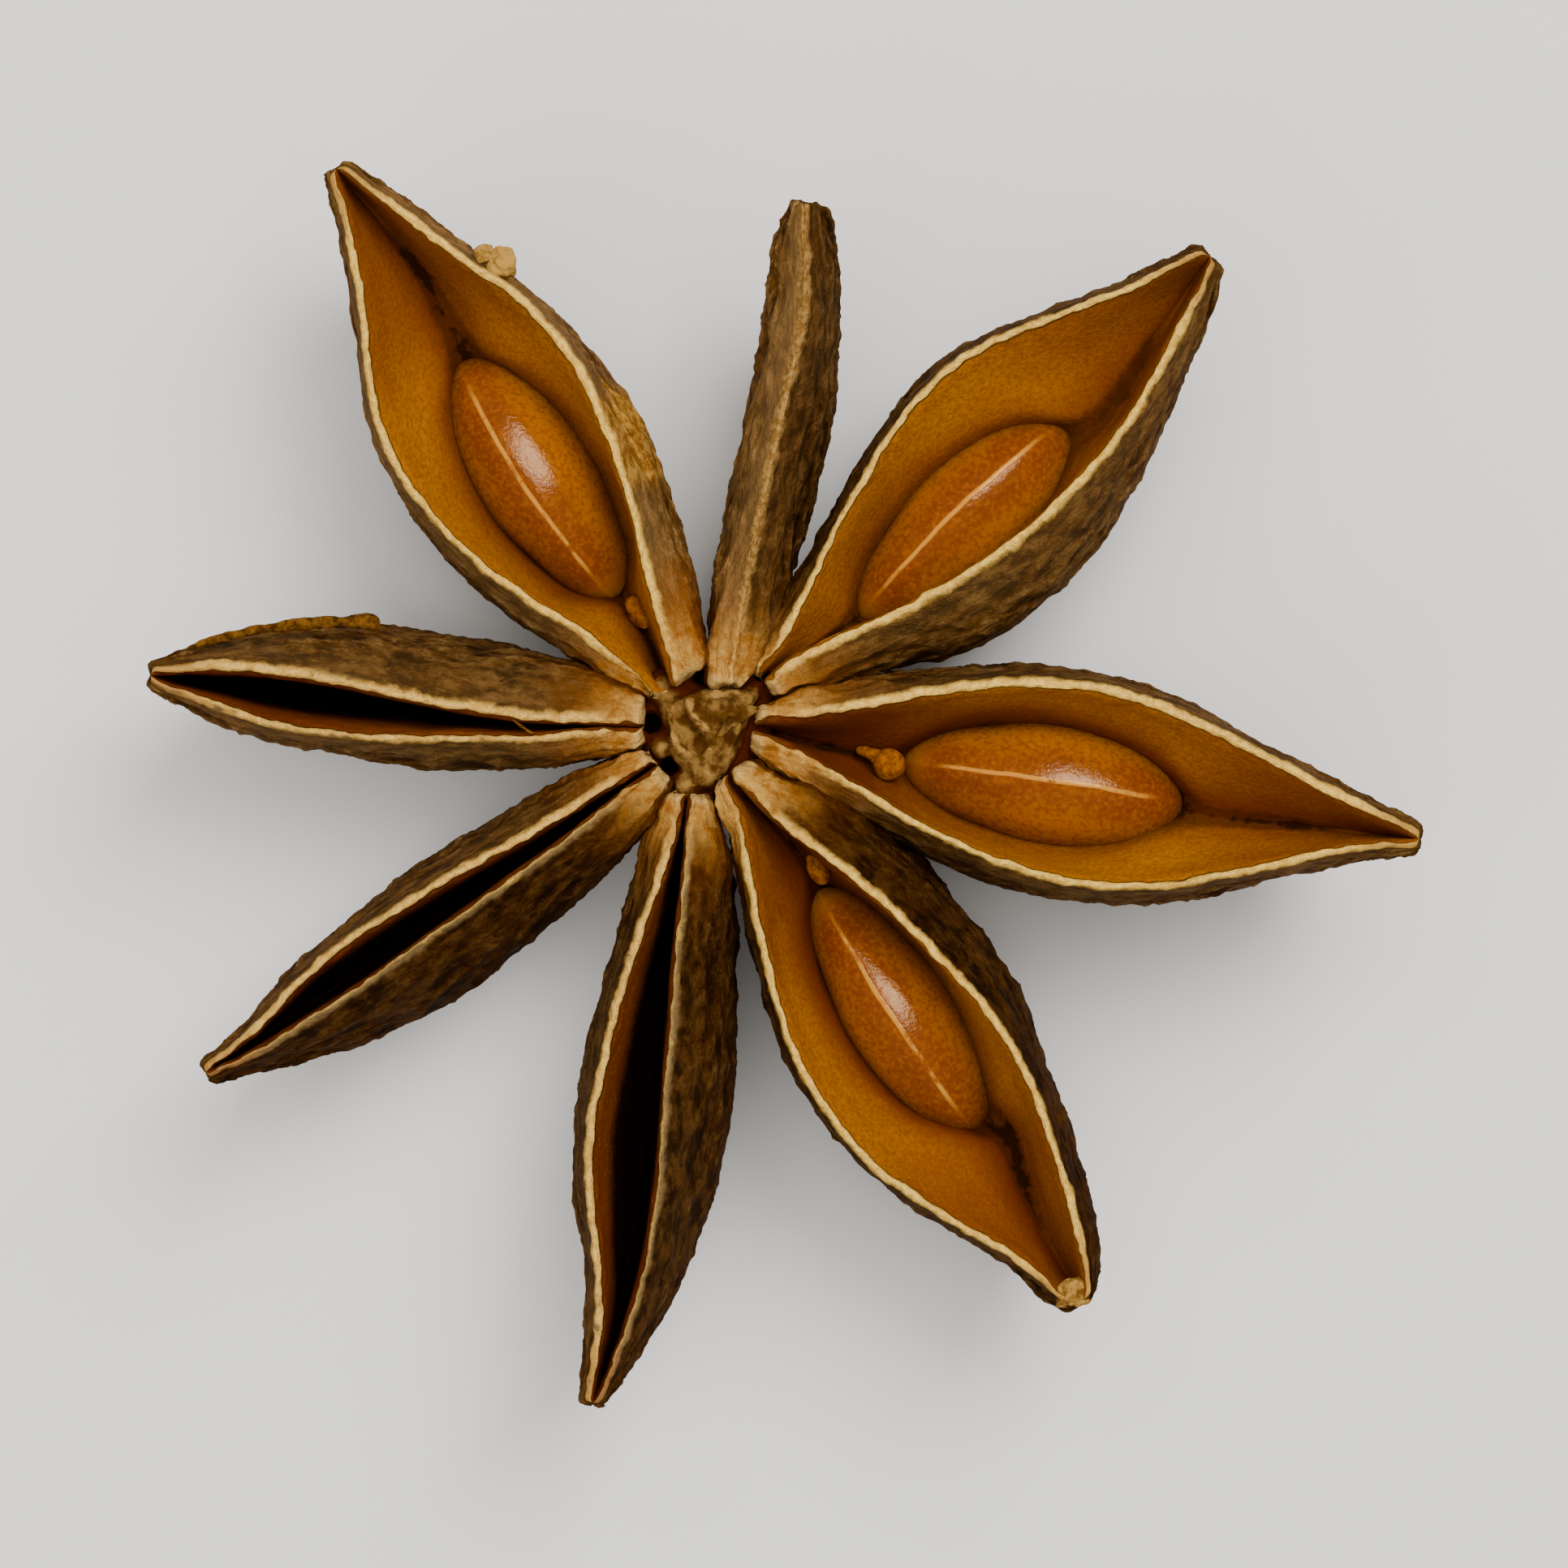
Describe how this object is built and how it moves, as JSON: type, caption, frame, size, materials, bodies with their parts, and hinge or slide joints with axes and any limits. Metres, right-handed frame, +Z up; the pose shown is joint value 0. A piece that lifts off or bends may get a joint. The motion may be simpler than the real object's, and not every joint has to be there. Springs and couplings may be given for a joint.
{
  "type": "star anise pod",
  "caption": "Dried woody star of boat-shaped carpels round a short column, some gaping over a glossy seed, others barely split or still shut.",
  "frame": {"origin": "on the surface the pod stands on, under the middle of its bounding box", "axes": "+Z up, out of the mouths of the carpels; +X towards the longest open carpel; +Y towards the shut carpel, seen from above"},
  "size_m": [0.0332, 0.0324, 0.0093],
  "materials": {
    "husk": "dry, wrinkled, dark brown outside, smooth ochre brown inside the open carpels, pale lips",
    "seed": "smooth, glossy orange-brown seed coat with a fine pale line lengthwise"
  },
  "bodies": {
    "root": {"pod": "husk", "seed_right": "seed", "seed_upper_right": "seed", "seed_upper_left": "seed", "seed_lower_right": "seed"}
  },
  "joints": []
}
